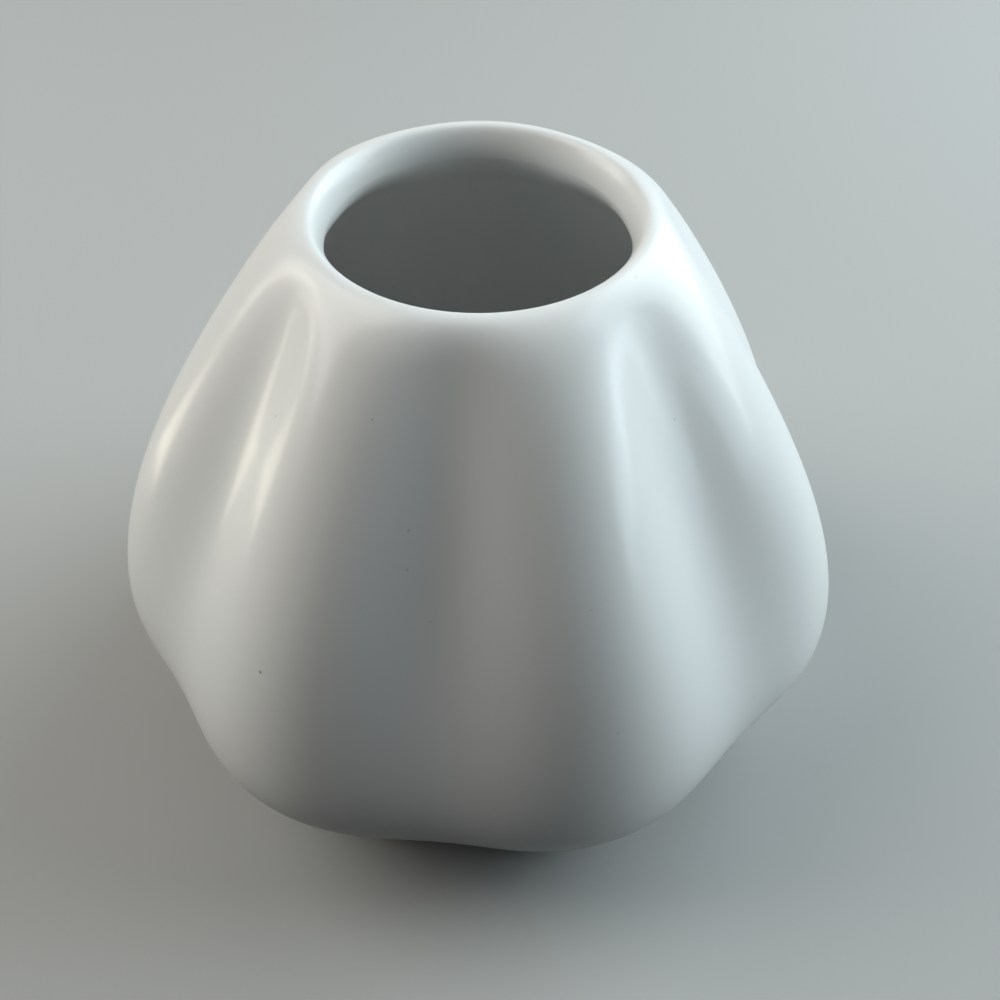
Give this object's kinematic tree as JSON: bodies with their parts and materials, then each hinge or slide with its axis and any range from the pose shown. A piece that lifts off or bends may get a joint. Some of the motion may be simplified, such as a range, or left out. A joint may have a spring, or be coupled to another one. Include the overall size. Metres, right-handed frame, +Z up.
{
  "type": "lobed ceramic vase",
  "caption": "Small round lobed ceramic vase with a wide low belly, a narrow rolled mouth and satin white glaze, for a short bunch of flowers.",
  "frame": {"origin": "centre of the foot ring, on the surface that the vase stands on", "axes": "+Z up along the vase's axis, -Y towards the crest of the front lobe, +X to the right"},
  "size_m": [0.1066, 0.1053, 0.0842],
  "materials": {
    "stoneware": "matte",
    "white_glaze": "satin",
    "liner_glaze": "satin"
  },
  "bodies": {
    "root": {"clay_body": "stoneware", "outer_glaze": "white_glaze", "inner_glaze": "liner_glaze", "base_glaze": "liner_glaze"}
  },
  "joints": []
}
